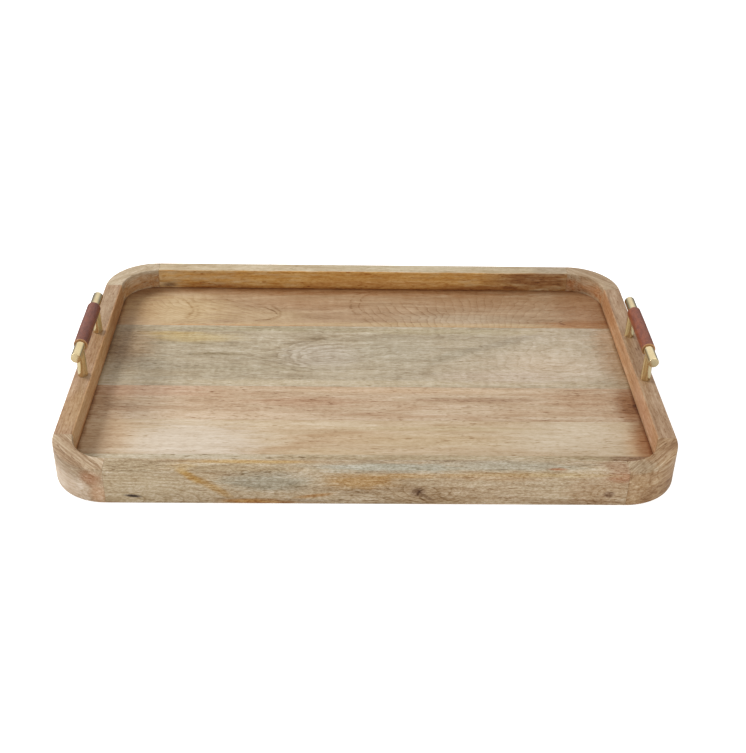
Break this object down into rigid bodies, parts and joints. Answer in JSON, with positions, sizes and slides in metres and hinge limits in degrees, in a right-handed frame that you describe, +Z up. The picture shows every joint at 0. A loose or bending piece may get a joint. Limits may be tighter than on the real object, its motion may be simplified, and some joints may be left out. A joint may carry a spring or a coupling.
{
  "type": "serving tray",
  "caption": "Rectangular wooden serving tray with rounded corners, a recessed plank floor and raised brass bar handles wrapped in leather.",
  "frame": {"origin": "on the surface the tray stands on, under the middle of the tray", "axes": "+X along the length from the left handle to the right handle, +Y from the front rail to the back rail, +Z up"},
  "size_m": [0.613, 0.416, 0.0798],
  "materials": {
    "front_rail_wood": "satin lacquered mango wood, grey-green with honey streaks",
    "back_rail_wood": "satin lacquered mango wood, pale beige top and honey inner face",
    "left_rail_wood": "satin lacquered mango wood, pinkish tan",
    "right_rail_wood": "satin lacquered mango wood, pinkish tan",
    "corner_wood": "satin lacquered mango wood, tan",
    "floor_wood": "satin lacquered mango wood boards of different tones",
    "dowel_wood": "plain beech",
    "handle_brass": "satin brushed champagne brass",
    "sleeve_leather": "smooth reddish-brown leather",
    "fastener_steel": "zinc plated"
  },
  "bodies": {
    "root": {"front_rail": "front_rail_wood", "back_rail": "back_rail_wood", "left_rail": "left_rail_wood", "right_rail": "right_rail_wood", "corner_front_left": "corner_wood", "corner_front_right": "corner_wood", "corner_back_right": "corner_wood", "corner_back_left": "corner_wood", "floor_board_1": "floor_wood", "floor_board_2": "floor_wood", "floor_board_3": "floor_wood", "floor_board_4": "floor_wood", "floor_board_5": "floor_wood", "dowel_front_rail_left_lower": "dowel_wood", "dowel_front_rail_left_upper": "dowel_wood", "dowel_front_rail_right_lower": "dowel_wood", "dowel_front_rail_right_upper": "dowel_wood", "dowel_back_rail_left_lower": "dowel_wood", "dowel_back_rail_left_upper": "dowel_wood", "dowel_back_rail_right_lower": "dowel_wood", "dowel_back_rail_right_upper": "dowel_wood", "dowel_left_rail_front_lower": "dowel_wood", "dowel_left_rail_front_upper": "dowel_wood", "dowel_left_rail_back_lower": "dowel_wood", "dowel_left_rail_back_upper": "dowel_wood", "dowel_right_rail_front_lower": "dowel_wood", "dowel_right_rail_front_upper": "dowel_wood", "dowel_right_rail_back_lower": "dowel_wood", "dowel_right_rail_back_upper": "dowel_wood", "left_handle_bar": "handle_brass", "right_handle_bar": "handle_brass", "left_post_front": "handle_brass", "left_post_back": "handle_brass", "right_post_front": "handle_brass", "right_post_back": "handle_brass", "left_leather_sleeve": "sleeve_leather", "right_leather_sleeve": "sleeve_leather", "left_bar_stud_front": "fastener_steel", "left_bar_stud_back": "fastener_steel", "right_bar_stud_front": "fastener_steel", "right_bar_stud_back": "fastener_steel", "left_screw_front": "fastener_steel", "left_screw_back": "fastener_steel", "right_screw_front": "fastener_steel", "right_screw_back": "fastener_steel", "left_washer_front": "fastener_steel", "left_washer_back": "fastener_steel", "right_washer_front": "fastener_steel", "right_washer_back": "fastener_steel"}
  },
  "joints": []
}
